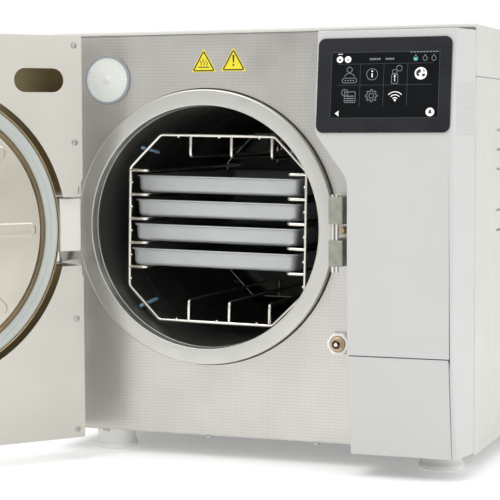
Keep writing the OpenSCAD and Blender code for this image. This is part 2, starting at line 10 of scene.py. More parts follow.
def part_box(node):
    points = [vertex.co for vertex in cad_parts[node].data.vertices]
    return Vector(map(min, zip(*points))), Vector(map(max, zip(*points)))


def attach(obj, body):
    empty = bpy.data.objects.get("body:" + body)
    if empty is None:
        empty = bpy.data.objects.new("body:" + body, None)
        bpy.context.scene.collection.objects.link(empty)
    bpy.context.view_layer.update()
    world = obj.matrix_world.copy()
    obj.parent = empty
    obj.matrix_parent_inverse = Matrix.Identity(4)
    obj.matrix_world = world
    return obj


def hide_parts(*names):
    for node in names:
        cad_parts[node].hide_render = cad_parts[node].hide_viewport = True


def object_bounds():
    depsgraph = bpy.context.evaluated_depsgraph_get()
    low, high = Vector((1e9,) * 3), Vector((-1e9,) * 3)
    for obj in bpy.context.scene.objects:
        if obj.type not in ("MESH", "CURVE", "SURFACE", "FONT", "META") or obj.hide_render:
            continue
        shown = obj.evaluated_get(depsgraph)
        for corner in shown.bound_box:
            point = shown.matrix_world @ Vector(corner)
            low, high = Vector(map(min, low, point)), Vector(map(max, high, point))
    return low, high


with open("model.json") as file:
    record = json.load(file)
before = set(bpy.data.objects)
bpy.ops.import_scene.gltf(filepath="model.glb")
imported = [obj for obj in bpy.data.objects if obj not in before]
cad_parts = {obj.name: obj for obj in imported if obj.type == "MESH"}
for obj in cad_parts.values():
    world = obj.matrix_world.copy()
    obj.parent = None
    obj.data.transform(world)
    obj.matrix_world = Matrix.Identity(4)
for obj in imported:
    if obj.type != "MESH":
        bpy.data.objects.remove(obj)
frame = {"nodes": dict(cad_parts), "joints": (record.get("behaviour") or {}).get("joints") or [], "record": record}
cad_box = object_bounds()
NODES = frame["nodes"]
SLOT_OF = {s["node"]: s["material_slot"] for s in frame["record"]["subparts"]}
BODY_OF = {n: b for b, members in frame["record"]["behaviour"]["bodies"].items() for n in members}
JOINT = {j["name"]: j for j in frame["joints"]}

# Frames, each in millimetres. SEAT is about the chamber's axis, with y = 0 on the front plate.
# DOOR is the same for the closed door, swung open with it. RACK is rolled about the axis, as the
# tray rack lies on its glides.
RACK_ROLL = 1.1
ring_low, ring_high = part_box("sealing_ring")
AXIS = Vector(((ring_low.x + ring_high.x) / 2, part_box("front_plate")[0].y, (ring_low.z + ring_high.z) / 2))
SEAT = Matrix.Translation(AXIS) @ Matrix.Scale(0.001, 4)
PIVOT = Matrix.Translation(JOINT["door_swing"]["pos_m"])
OPEN = radians(JOINT["door_swing"]["range_deg"][1])
DOOR = PIVOT @ Matrix.Rotation(-OPEN, 4, "Z") @ PIVOT.inverted() @ SEAT
RACK = SEAT @ Matrix.Rotation(radians(RACK_ROLL), 4, "Y")


def extent(node, place=SEAT):
    """Lowest and highest corner of a CAD node in the millimetres of a frame."""
    inverse = place.inverted()
    points = [inverse @ v.co for v in NODES[node].data.vertices]
    return (Vector([min(p[i] for p in points) for i in range(3)]),
            Vector([max(p[i] for p in points) for i in range(3)]))


def facing(node, way):
    """Frame on a node's flat face that looks most along way: x across, -y out of the face, z up."""
    flat = max(NODES[node].data.polygons, key=lambda f: f.normal.dot(Vector(way)) * f.area ** 0.5)
    out = flat.normal.normalized()
    points = [v.co for v in NODES[node].data.vertices if abs((v.co - flat.center).dot(out)) < 1e-5]
    middle = [(min(p[i] for p in points) + max(p[i] for p in points)) / 2 for i in range(3)]
    across = out.cross(Vector((0, 0, -1))).normalized()
    up = across.cross(-out)
    turn = Matrix((across, -out, up)).transposed().to_4x4()
    return Matrix.Translation(middle) @ turn @ Matrix.Scale(0.001, 4)


# Materials
def link(tree, start, end):
    tree.links.new(start, end)


def maths(tree, kind, a, b=None):
    """A Math node of two sockets or numbers."""
    made = tree.nodes.new("ShaderNodeMath")
    made.operation = kind
    for socket, value in zip(made.inputs, (a, b)):
        if isinstance(value, (int, float)):
            socket.default_value = value
        elif value is not None:
            link(tree, value, socket)
    return made.outputs[0]


def noise(tree, at, scale, stretch=(1, 1, 1), detail=3.0):
    """Noise over the object, in features per metre, drawn out along an axis with a small stretch."""
    spread = tree.nodes.new("ShaderNodeMapping")
    spread.inputs["Scale"].default_value = stretch
    link(tree, at, spread.inputs["Vector"])
    made = tree.nodes.new("ShaderNodeTexNoise")
    made.inputs["Scale"].default_value = scale
    made.inputs["Detail"].default_value = detail
    link(tree, spread.outputs[0], made.inputs["Vector"])
    return made.outputs["Fac"]


def between(tree, value, low, high):
    """A value from 0.3 to 0.7 spread from low to high."""
    made = tree.nodes.new("ShaderNodeMapRange")
    made.inputs["From Min"].default_value = 0.3
    made.inputs["From Max"].default_value = 0.7
    made.inputs["To Min"].default_value = low
    made.inputs["To Max"].default_value = high
    link(tree, value, made.inputs["Value"])
    return made.outputs[0]


def material(name, colour, rough, metal=0.0, vary=0.05, patch=14, grain=900, stretch=(1, 1, 1),
             depth=0.02, rough_vary=0.05, pattern=None, **sockets):
    """Principled surface: patches of colour and roughness, a fine grain in relief, and a pattern
    that may darken the colour and add relief. Sockets are uniform values of the shader's own."""
    made = bpy.data.materials.new(name)
    made.use_nodes = True
    tree = made.node_tree
    shader = tree.nodes["Principled BSDF"]
    shader.inputs["Metallic"].default_value = metal
    for key, value in sockets.items():
        shader.inputs[key.replace("_", " ")].default_value = value
    at = tree.nodes.new("ShaderNodeTexCoord").outputs["Object"]
    patches = noise(tree, at, patch)
    fine = noise(tree, at, grain, stretch, 2.0)
    tint = tree.nodes.new("ShaderNodeMix")
    tint.data_type = "RGBA"
    tint.inputs["A"].default_value = [c * (1 - vary) for c in colour] + [1]
    tint.inputs["B"].default_value = [min(1, c * (1 + vary)) for c in colour] + [1]
    link(tree, between(tree, patches, 0, 1), tint.inputs["Factor"])
    shade, height = tint.outputs["Result"], fine
    if pattern:
        mark, dark, raised = pattern(tree, at)
        shaded = tree.nodes.new("ShaderNodeMix")
        shaded.data_type = "RGBA"
        shaded.blend_type = "MULTIPLY"
        shaded.inputs["B"].default_value = (dark, dark, dark, 1)
        link(tree, mark, shaded.inputs["Factor"])
        link(tree, shade, shaded.inputs["A"])
        shade = shaded.outputs["Result"]
        height = maths(tree, "ADD", fine, maths(tree, "MULTIPLY", mark, raised))
    link(tree, shade, shader.inputs["Base Color"])
    link(tree, between(tree, noise(tree, at, patch * 3), max(0.02, rough - rough_vary), rough + rough_vary),
         shader.inputs["Roughness"])
    bump = tree.nodes.new("ShaderNodeBump")
    bump.inputs["Strength"].default_value = 0.5
    bump.inputs["Distance"].default_value = depth * 0.001
    link(tree, height, bump.inputs["Height"])
    link(tree, bump.outputs["Normal"], shader.inputs["Normal"])
    return made


def axes(tree, at, centre=(0, 0, 0)):
    """Millimetres along X, Y and Z from a centre."""
    move = tree.nodes.new("ShaderNodeVectorMath")
    move.operation = "SUBTRACT"
    move.inputs[1].default_value = centre
    link(tree, at, move.inputs[0])
    grow = tree.nodes.new("ShaderNodeVectorMath")
    grow.operation = "SCALE"
    grow.inputs["Scale"].default_value = 1000
    link(tree, move.outputs[0], grow.inputs[0])
    split = tree.nodes.new("ShaderNodeSeparateXYZ")
    link(tree, grow.outputs[0], split.inputs[0])
    return split.outputs


def linen(pitch, width, dark):
    """Rolled linen finish: a square grid of fine lines pressed into sheet steel."""
    def pattern(tree, at):
        x, _, z = axes(tree, at)
        lines = []
        for along in (x, z):
            cell = maths(tree, "PINGPONG", along, pitch / 2)
            lines.append(maths(tree, "LESS_THAN", cell, width / 2))
        return maths(tree, "MAXIMUM", *lines), dark, -2.0
    return pattern


def turned_marks(centre, pitch, dark, normal_axes=(0, 2)):
    """Fine rings left by the lathe round a centre."""
    def pattern(tree, at):
        parts = axes(tree, at, centre)
        squares = [maths(tree, "MULTIPLY", parts[i], parts[i]) for i in normal_axes]
        radius = maths(tree, "SQRT", maths(tree, "ADD", *squares))
        rings = tree.nodes.new("ShaderNodeTexNoise")
        rings.noise_dimensions = "1D"
        rings.inputs["Scale"].default_value = 1 / pitch
        rings.inputs["Detail"].default_value = 2
        link(tree, radius, rings.inputs["W"])
        return rings.outputs["Fac"], dark, 1.0
    return pattern


STEEL = (0.60, 0.585, 0.55)
LOOK = {
    "white_enamel": material("white_enamel", (0.52, 0.517, 0.482), 0.42, vary=0.015, grain=2200, depth=0.03),
    "front_steel": material("front_steel", STEEL, 0.33, 1, vary=0.06, patch=9, grain=1600,
                            pattern=linen(3.2, 0.9, 0.88), depth=0.02),
    "liner_steel": material("liner_steel", (0.525, 0.507, 0.463), 0.36, 1, vary=0.05, patch=7,
                            grain=900, stretch=(0.04, 0.04, 1), depth=0.02),
    "ring_steel": material("ring_steel", (0.63, 0.625, 0.59), 0.42, 1, vary=0.03,
                           pattern=turned_marks(AXIS, 0.35, 0.9), depth=0.001),
    # Chamber steel far darker than bare stainless steel: painted shade deep inside the chamber.
    "vessel_steel": material("vessel_steel", (0.15, 0.155, 0.14), 0.36, 0.7, vary=0.15,
                             pattern=turned_marks(AXIS, 0.8, 0.8), depth=0.003),
    "disc_steel": material("disc_steel", (0.475, 0.452, 0.385), 0.24, 1, vary=0.05, patch=8, grain=700,
                           depth=0.012),
    "wire_steel": material("wire_steel", (0.80, 0.77, 0.71), 0.18, 1, vary=0.05, grain=1500, depth=0.01),
    "tray_aluminium": material("tray_aluminium", (0.51, 0.53, 0.53), 0.5, 0.55, vary=0.03, grain=2500,
                               depth=0.02),
    "column_plastic": material("column_plastic", (0.52, 0.52, 0.512), 0.38, vary=0.012, grain=2500,
                               depth=0.02),
    "display_glass": material("display_glass", (0.010, 0.011, 0.014), 0.3, vary=0.02, depth=0.0,
                              Specular_IOR_Level=0.4),
    "gasket_silicone": material("gasket_silicone", (0.45, 0.478, 0.455), 0.42, vary=0.03, grain=1200,
                                depth=0.02, Subsurface_Weight=0.15, Subsurface_Scale=0.004),
    "glide_plastic": material("glide_plastic", (0.30, 0.46, 0.60), 0.25, vary=0.1, grain=600,
                              Transmission_Weight=0.35),
    "cast_steel": material("cast_steel", (0.34, 0.335, 0.29), 0.48, 0.75, vary=0.12, patch=120,
                           grain=1500, depth=0.08),
    "bright_steel": material("bright_steel", (0.72, 0.71, 0.68), 0.2, 1, vary=0.04, grain=1500),
    "brass": material("brass", (0.58, 0.45, 0.31), 0.42, 0.6, vary=0.12, patch=150, grain=1800),
    "white_plastic": material("white_plastic", (0.66, 0.65, 0.61), 0.4, vary=0.02, grain=2000),
    "foot_plastic": material("foot_plastic", (0.85, 0.85, 0.82), 0.45, vary=0.02, grain=1800),
    "filter_plastic": material("filter_plastic", (0.72, 0.725, 0.69), 0.5, vary=0.03, grain=2500,
                               depth=0.04, Subsurface_Weight=0.2, Subsurface_Scale=0.003),
    "dark_plastic": material("dark_plastic", (0.02, 0.02, 0.022), 0.4, vary=0.15, grain=1800),
    "grey_plastic": material("grey_plastic", (0.3, 0.3, 0.31), 0.45, vary=0.05, grain=1800),
    "insulation": material("insulation", (0.6, 0.55, 0.42), 0.9, vary=0.2, patch=60, grain=500, depth=0.6),
    "tank_plastic": material("tank_plastic", (0.6, 0.68, 0.74), 0.35, vary=0.03, grain=1200),
    "board_green": material("board_green", (0.03, 0.14, 0.07), 0.4, vary=0.15, patch=200, grain=1500),
    "heater": material("heater", (0.32, 0.25, 0.2), 0.4, 0.9, vary=0.2, patch=60, grain=900),
    "zinc": material("zinc", (0.5, 0.5, 0.48), 0.35, 1, vary=0.12, patch=60, grain=900),
    "pump_metal": material("pump_metal", (0.2, 0.21, 0.23), 0.5, 0.6, vary=0.1, patch=60, grain=900,
                           depth=0.1),
}
# Lighter copy of the white enamel for the door's cover: painted light, so that the door's shaded hinge side throws
# more light onto the front plate.
DOOR_WHITE_LIT = material("door_enamel_lit", (0.77, 0.766, 0.733), 0.4, vary=0.015, grain=2200, depth=0.03)
NUT_WHITE = material("nut_white", (0.86, 0.855, 0.82), 0.35, vary=0.02, grain=2000)
HEAD_STEEL = material("screw_steel", (0.40, 0.39, 0.36), 0.35, 1, vary=0.08, patch=90, grain=1500)
# Brown steel for the door dish and the slope round its face plate: a painted reflection of the brown heat shield.
BROWN_REFLECTION = material("brown_reflection_steel", (0.42, 0.31, 0.18), 0.3, 1, vary=0.25, patch=9, grain=700)
SHIELD = material("heat_shield", (0.60, 0.49, 0.27), 0.5, 0.35, vary=0.2, patch=12, grain=900)
INK = {
    "white": material("print_white", (0.82, 0.83, 0.84), 0.4, vary=0.02, Emission_Color=(1, 1, 1, 1),
                      Emission_Strength=0.12),
    "grey": material("print_grey", (0.22, 0.235, 0.25), 0.4, vary=0.03, Specular_IOR_Level=0.2),
    "faint": material("print_faint", (0.07, 0.075, 0.08), 0.4, vary=0.03, Specular_IOR_Level=0.2),
    "teal": material("print_teal", (0.05, 0.5, 0.47), 0.4, vary=0.03),
    "screen": material("print_screen", (0.004, 0.005, 0.006), 0.3, vary=0.1, Specular_IOR_Level=0.12),
    "yellow": material("print_yellow", (0.78, 0.66, 0.02), 0.45, vary=0.04, patch=200),
    "black": material("print_black", (0.03, 0.026, 0.01), 0.45, vary=0.1),
    "hole": material("shadowed_hole", (0.36, 0.36, 0.355), 0.7, vary=0.1),
    "clear_rim": material("clear_rim", (0.40, 0.45, 0.48), 0.2, vary=0.05, Transmission_Weight=0.35),
}


# Making meshes. Each maker returns a bmesh in the millimetres of some frame.
def piece(name, made, body, slot, place=SEAT, look=None, replaces=(), crease=35):
    """Turns a bmesh into a piece of the object that rides on a body."""
    bmesh.ops.recalc_face_normals(made, faces=made.faces)
    for face in made.faces:
        face.smooth = True
    for edge in made.edges:
        edge.smooth = len(edge.link_faces) == 2 and edge.calc_face_angle(0) < radians(crease)
    mesh = bpy.data.meshes.new(name)
    made.to_mesh(mesh)
    made.free()
    mesh.transform(place)
    mesh.materials.append(look or LOOK[slot])
    thing = bpy.data.objects.new(name, mesh)
    bpy.context.scene.collection.objects.link(thing)
    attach(thing, body)
    if replaces:
        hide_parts(*replaces)
    return thing


def skin(made, loops, close=True, caps=(False, False)):
    """Joins loops of points, all of the same count, into a surface. caps fill the first and last."""
    rows = [[made.verts.new(p) for p in loop] for loop in loops]
    count = len(rows[0])
    for low, high in zip(rows, rows[1:]):
        for i in range(count if close else count - 1):
            j = (i + 1) % count
            made.faces.new((low[i], low[j], high[j], high[i]))
    for row, capped in ((rows[0], caps[0]), (rows[-1], caps[1])):
        if capped:
            made.faces.new(row)
    return rows


def rounded(points, radius, closed=False, steps=5):
    """A line of points with its corners turned into arcs. radius may be one number or one a corner."""
    points = [Vector(p) for p in points]
    count, line = len(points), []
    for i, corner in enumerate(points):
        size = radius[i] if isinstance(radius, (list, tuple)) else radius
        if size <= 0 or (not closed and i in (0, count - 1)):
            line.append(corner)
            continue
        back = (points[i - 1] - corner)
        ahead = (points[(i + 1) % count] - corner)
        half = back.angle(ahead) / 2
        reach = min(size / tan(half), back.length * 0.49, ahead.length * 0.49)
        a, b = corner + back.normalized() * reach, corner + ahead.normalized() * reach
        for k in range(steps + 1):
            t = k / steps
            line.append(a.lerp(corner, t).lerp(corner.lerp(b, t), t))
    return line


def lathe(profile, steps=144, closed=True):
    """Turns a profile of (radius, y) points about the frame's Y axis."""
    made = bmesh.new()
    loops = [[(max(r, 0.0) * cos(a), y, max(r, 0.0) * sin(a))
              for a in (2 * pi * k / steps for k in range(steps))] for r, y in profile]
    if closed:
        loops.append(loops[0])
    skin(made, loops)
    bmesh.ops.remove_doubles(made, verts=made.verts, dist=1e-5)
    return made


def tube(points, radius, sides=12, closed=False, made=None):
    """A round wire along a line of points, with domed ends."""
    made = made or bmesh.new()
    points = [Vector(p) for p in points]
    last = len(points) - 1
    side, loops = None, []
    for i, at in enumerate(points):
        if closed:
            along = points[(i + 1) % (last + 1)] - points[i - 1]
        else:
            along = points[min(i + 1, last)] - points[max(i - 1, 0)]
        along.normalize()
        side = side or along.orthogonal()
        side = (side - along * side.dot(along)).normalized()
        other = along.cross(side)
        loops.append([at + radius * (cos(a) * side + sin(a) * other)
                      for a in (2 * pi * k / sides for k in range(sides))])
        if not closed and i in (0, last):
            out = -along if i == 0 else along
            domes = [[at + out * radius * sin(t) + (p - at) * cos(t) for p in loops[-1]]
                     for t in (radians(30), radians(60), radians(80))]
            if i == 0:
                loops[0:0] = domes[::-1]
            else:
                loops += domes
    if closed:
        loops.append(loops[0])
    skin(made, loops, caps=(not closed, not closed))
    if closed:
        bmesh.ops.remove_doubles(made, verts=made.verts, dist=1e-5)
    return made


def welded(node):
    """A CAD node's mesh with its faces whole again, in metres."""
    made = bmesh.new()
    made.from_mesh(NODES[node].data)
    bmesh.ops.remove_doubles(made, verts=made.verts, dist=2e-6)
    bmesh.ops.dissolve_limit(made, angle_limit=radians(0.4), verts=made.verts, edges=made.edges)
    return made


def sharp_edges(made, over=32):
    return [e for e in made.edges if len(e.link_faces) == 2 and e.calc_face_angle(0) > radians(over)]


def bevel(made, edges, width, steps):
    bmesh.ops.bevel(made, geom=edges, offset=width * 0.001, segments=steps, profile=0.5,
                    affect="EDGES", clamp_overlap=False)


def soften(node, width, steps=2, first=None, place=SEAT, over=32, look=None):
    """A CAD node with its sharp edges rounded by width in millimetres. first gives wider roundings:
    pairs of a width and a test of an edge's middle and direction, in millimetres of the frame."""
    made = welded(node)
    inverse = place.inverted()
    turn = inverse.to_3x3().normalized()
    for wide, wanted in first or ():
        chosen = []
        for edge in sharp_edges(made, over):
            a, b = (v.co for v in edge.verts)
            if wanted(inverse @ ((a + b) / 2), turn @ (b - a).normalized()):
                chosen.append(edge)
        if chosen:
            bevel(made, chosen, wide, 4)
    if width:
        bevel(made, sharp_edges(made, over), width, steps)
    shape = piece(node + "_shell", made, BODY_OF[node], SLOT_OF[node], Matrix(), look, (node,), 50)
    even = shape.modifiers.new("even", "WEIGHTED_NORMAL")
    even.keep_sharp = True
    return shape


# Flat marks, drawn in x and z of a frame and raised along -y. Dark marks lie on the bright ones.
RAISED = 0.10
DARK = -RAISED - 0.04


def prism(made, outline, low=0.0, high=-RAISED):
    skin(made, [[(x, low, z) for x, z in outline], [(x, high, z) for x, z in outline]], caps=(True, True))


def box(made, low, high):
    size = Vector(high) - Vector(low)
    bmesh.ops.create_cube(made, size=1, matrix=Matrix.Translation((Vector(low) + Vector(high)) / 2)
                          @ Matrix.Diagonal((*size, 1)))


def disc(made, x, z, radius, low=0.0, high=-RAISED, steps=28):
    prism(made, [(x + radius * cos(2 * pi * k / steps), z + radius * sin(2 * pi * k / steps))
                 for k in range(steps)], low, high)


def stroke(made, points, width, closed=False, low=0.0, high=-RAISED):
    """A line of even width with square ends."""
    points = [Vector((x, z)) for x, z in points]
    count = len(points)
    left, right = [], []
    for i, at in enumerate(points):
        before = points[i - 1] if closed or i else None
        after = points[(i + 1) % count] if closed or i < count - 1 else None
        ways = [(b - a).normalized() for a, b in ((before, at), (at, after))
                if a is not None and b is not None]
        way = sum(ways, Vector((0, 0))).normalized()
        across = Vector((-way.y, way.x)) * width / 2 / max(0.4, way.dot(ways[0]))
        left.append(at + across)
        right.append(at - across)
    loops = [[(l.x, low, l.y), (r.x, low, r.y), (r.x, high, r.y), (l.x, high, l.y)]
             for l, r in zip(left, right)]
    if closed:
        loops.append(loops[0])
    skin(made, loops, caps=(not closed, not closed))
    if closed:
        bmesh.ops.remove_doubles(made, verts=made.verts, dist=1e-5)


def arc(x, z, radius, start, end, steps=16):
    return [(x + radius * cos(radians(start + (end - start) * k / steps)),
             z + radius * sin(radians(start + (end - start) * k / steps))) for k in range(steps + 1)]


def ring(made, x, z, radius, width):
    stroke(made, arc(x, z, radius, 0, 360, 32)[:-1], width, True)


def box_line(made, x, z, w, h, width, r=0.6):
    corners = rounded([(x - w / 2, z - h / 2, 0), (x + w / 2, z - h / 2, 0), (x + w / 2, z + h / 2, 0),
                       (x - w / 2, z + h / 2, 0)], r, True, 3)
    stroke(made, [(p.x, p.y) for p in corners], width, True)


# Covers and cabinet
def covers():
    low, high = extent("top_cover")
    soften("top_cover", 0.8, 3, first=[(2.5, lambda p, d: p.y < low.y + 0.1 and p.z > high.z - 0.5)])
    for side in ("left_side_panel", "right_side_panel"):
        soften(side, 0.35)
    for node, width in (("rear_panel", 0.3), ("base_pan", 0.3), ("fill_lid", 1.0), ("lid_hinge", 0.6),
                        ("hinge_bracket", 0.8), ("hinge_pin", 0.6), ("service_panel", 0.6),
                        ("flap_brackets", 0.3), ("power_inlet", 0.5), ("usb_port", 0.5),
                        ("power_switch", 0.8), ("plate_screws", 0.4), ("fan_housing", 0.5)):
        soften(node, width)
    soften("column_fascia", 0.9, 3, first=[(6, column_corners())])
    soften("service_flap", 0.9, 3)


LOUVRE_Z = (99.4, 79.4, 59.5, 17.4, -3.3)
LOUVRE_Y = (94, 214)
LOUVRE_LONG = 110


def louvres():
    """Baffles that stand just inside the slots of the side panels."""
    for node, side in (("left_side_panel", -1), ("right_side_panel", 1)):
        low, high = extent(node)
        wall = high.x - 1.2 if side > 0 else low.x + 1.2
        near, far = sorted((wall - side * 1.8, wall - side * 2.4))
        made = bmesh.new()
        for z in LOUVRE_Z:
            for y in LOUVRE_Y:
                box(made, (near, y - 2, z - 4), (far, y + LOUVRE_LONG + 2, z + 4))
        piece(node + "_baffles", made, "cabinet", SLOT_OF[node])


def column_corners():
    """A test for the corners where the column's left side slants, seen from the front."""
    low, high = extent("column_fascia")

    def slanted(p, d):
        return abs(d.y) > 0.9 and low.z + 120 < p.z < high.z - 60 and p.x < low.x + 40
    return slanted


def feet():
    """Waisted feet with a wider ring at the floor."""
    low, high = extent("feet")
    half = 23.5
    places = [(x, y) for x in (low.x + half, high.x - half) for y in (low.y + half, high.y - half)]
    tall = high.z - low.z
    profile = rounded([(0, tall, 0), (21, tall, 0), (20.4, tall - 3, 0), (20, tall - 9, 0), (21.2, 8, 0),
                       (23.4, 4, 0), (22, 0, 0), (16, 0.8, 0), (0, 0.8, 0)], [0, 0, 2, 8, 5, 3, 1.5, 0, 0])
    for k, (x, y) in enumerate(places):
        made = lathe([(p.x, -p.y) for p in profile], 72)
        turn = SEAT @ Matrix.Translation((x, y, low.z)) @ Matrix.Rotation(radians(-90), 4, "X")
        piece(f"foot_{k + 1}", made, "cabinet", "foot_plastic", turn,
              replaces=("feet",) if k == 0 else ())


# Chamber
BORE = 125.0
RING_BACK = 6


def chamber():
    low, high = extent("sealing_ring")
    outer, bore = (high.x - low.x) / 2, BORE
    face = low.y
    lip = rounded_line([(bore, RING_BACK), (bore, 4.6), (bore + 0.5, 4), (bore + 0.5, face), (outer, face),
                        (outer, RING_BACK)], [0, 0.4, 0.4, 1.3, 1.8, 0])
    piece("chamber_ring", lathe(lip, 240), "cabinet", "ring_steel", replaces=("sealing_ring",))
    vessel_low, vessel_high = extent("chamber_vessel")
    wall, deep = (vessel_high.x - vessel_low.x) / 2 - bore, vessel_high.y
    back = deep - wall
    inside = rounded_line([(bore, RING_BACK), (bore, back), (0, back)], [0, 22, 0], 10)
    outside = rounded_line([(0, deep), (bore + wall, deep), (bore + wall, RING_BACK)], [0, 24, 0], 10)
    # The vessel and its beads take the darkened chamber steel: painted shade.
    piece("chamber_shell", lathe(inside + outside, 240), "cabinet", "vessel_steel",
          replaces=("chamber_vessel",))
    # Beads pressed into the wall, then the temperature probe, steam nozzle and strainer
    for y in (95, 205, 315):
        hoop = lathe([(bore - 0.7 * (1 + cos(a)) / 2, y + 3 * a / pi) for a in
                      (pi * k / 6 for k in range(-6, 7))] + [(bore + 0.3, y + 3), (bore + 0.3, y - 3)], 160)
        piece(f"chamber_bead_{y}", hoop, "cabinet", "vessel_steel")
    probe = rounded([(30, back, 40), (30, back - 26, 40), (44, back - 40, 62), (70, back - 46, 78)], 12)
    piece("temperature_probe", tube(probe, 2.0), "cabinet", "bright_steel")
    inlet = rounded([(-38, back, 84), (-38, back - 22, 84), (-38, back - 22, 60)], 7)
    piece("steam_nozzle", tube(inlet, 4.0, 16), "cabinet", "bright_steel")
    strainer = lathe(rounded_line([(0, -4), (9, -4), (11, -1), (11, 0), (0, 0)], 1.0), 48)
    piece("drain_strainer", strainer, "cabinet", "bright_steel",
          SEAT @ Matrix.Translation((0, 300, -bore + 0.6)) @ Matrix.Rotation(radians(-90), 4, "X"))


def rounded_line(pairs, radius, steps=5):
    return [(p.x, p.y) for p in rounded([(a, b, 0) for a, b in pairs], radius, steps=steps)]


# Latch, sensor, drain coupling
def latch():
    soften("latch_blocks", 1.0, 3)
    soften("latch_rods", 0.5)
    soften("door_sensor", 0.3)


def coupling():
    low, high = extent("drain_nut")
    middle = Vector(((low.x + high.x) / 2, 0, (low.z + high.z) / 2))
    place = SEAT @ Matrix.Translation(middle)
    apothem = (high.z - low.z) / 2
    steps = 96

    def hexagon(k, radius):
        """Distance to a hexagon's side with flats at the top and bottom, capped to a round."""
        a = 2 * pi * k / steps
        turn = (a % (pi / 3)) - pi / 6
        return min(apothem / cos(turn), radius)
    across = apothem / cos(pi / 6)
    made = bmesh.new()
    rows = [(across, high.y), (across, low.y + 1.4), (apothem + 0.7, low.y + 0.3), (apothem - 0.2, low.y)]
    loops = [[(hexagon(k, r) * cos(2 * pi * k / steps), y, hexagon(k, r) * sin(2 * pi * k / steps))
              for k in range(steps)] for r, y in rows]
    for r, y in ((8.6, low.y), (8.0, low.y + 0.8), (8.0, high.y)):
        loops.append([(r * cos(2 * pi * k / steps), y, r * sin(2 * pi * k / steps)) for k in range(steps)])
    loops.append(loops[0])
    skin(made, loops)
    bmesh.ops.remove_doubles(made, verts=made.verts, dist=1e-5)
    piece("coupling_nut", made, "cabinet", "white_plastic", place, NUT_WHITE, replaces=("drain_nut",))
    barrel_low, _ = extent("drain_barrel")
    tip = barrel_low.y
    barrel = [(4.4, -2), (4.4, tip + 0.5), (4.9, tip), (5.6, tip), (6, tip + 0.4), (6, tip + 1.6),
              (5.5, tip + 2), (5.5, tip + 2.8), (6, tip + 3.2), (6, tip + 3.8), (7.1, tip + 4),
              (7.6, tip + 4.5), (7.6, -0.2), (6, 0), (6, 16), (2.05, 16), (2.05, -2)]
    piece("coupling_barrel", lathe(barrel, 72), "cabinet", "brass", place, replaces=("drain_barrel",))
    soften("drain_pin", 0.4)


def air_filter():
    """Pleated disc in a clear rim."""
    low, high = extent("bio_filter")
    radius = (high.x - low.x) / 2
    place = SEAT @ Matrix.Translation(((low.x + high.x) / 2, 0, (low.z + high.z) / 2))
    front = low.y
    rim = rounded_line([(radius - 2.6, front + 0.5), (radius - 2.2, front), (radius - 0.4, front),
                        (radius, front + 0.6), (radius, -0.6), (radius - 2.6, -0.6)], 0.4)
    piece("filter_rim", lathe(rim, 144), "filter", "filter_plastic", place, INK["clear_rim"])
    pleats = 44
    steps = pleats * 8
    turns = [2 * pi * k / steps for k in range(steps)]
    made = bmesh.new()
    radii = (0.02, 2.2, 2.6, 7, 13, 18, 21, radius - 2.5)
    loops = []
    for r in radii:
        rise = 0.0 if r < 9 else min(1, (r - 9) / 12)
        base = front + 0.7 - (0.5 if r < 2.4 else 0)
        loops.append([(r * cos(a), base + 0.5 * rise * abs(sin(a * pleats / 2)), r * sin(a)) for a in turns])
    for r, y in ((radii[-1], -0.7), (8, -0.7), (8, high.y - 1), (7, high.y), (0.02, high.y)):
        loops.append([(r * cos(a), y, r * sin(a)) for a in turns])
    skin(made, loops, caps=(True, True))
    piece("filter_pleats", made, "filter", "filter_plastic", place, replaces=("bio_filter",), crease=60)


# Warning triangles: a hot plate and an exclamation mark. The print stands on the label.
LABEL = -0.12
PRINT = -0.18


def warning(name, x, base, side, draw):
    place = SEAT @ Matrix.Translation((x, 0, base))
    tall = side * sqrt(3) / 2
    corners = [Vector(c) for c in ((-side / 2, 0, 0), (side / 2, 0, 0), (0, tall, 0))]
    centre = Vector((0, tall / 3, 0))

    def triangle(inset):
        shrink = 1 - inset * 3 / tall
        inner = [centre + (c - centre) * shrink for c in corners]
        return [(p.x, p.y) for p in rounded(inner, 1.2, True)]
    label = bmesh.new()
    prism(label, triangle(-0.4), 0, LABEL)
    piece(name, label, "cabinet", "front_steel", place, INK["yellow"])
    marks = bmesh.new()
    stroke(marks, triangle(1.0), 1.3, True, LABEL, PRINT)
    draw(marks)
    piece(name + "_marks", marks, "cabinet", "front_steel", place, INK["black"])


def hot_mark(made):
    stroke(made, [(-6, 4.6), (6, 4.6)], 1.0, low=LABEL, high=PRINT)
    for x in (-3.2, 0, 3.2):
        wave = [(x + 0.9 * sin(t * 2 * pi / 8), 6.4 + t * 0.85) for t in range(9)]
        stroke(made, wave[:7] if x else wave, 0.8, low=LABEL, high=PRINT)


def shout_mark(made):
    prism(made, [(-0.65, 8.2), (0.65, 8.2), (1.15, 16), (-1.15, 16)], LABEL, PRINT)
    disc(made, 0, 5.9, 1.1, LABEL, PRINT, 16)


def labels():
    warning("hot_surface_label", -1.2, 160, 26.5, hot_mark)
    warning("caution_label", 31.6, 160.6, 26.5, shout_mark)


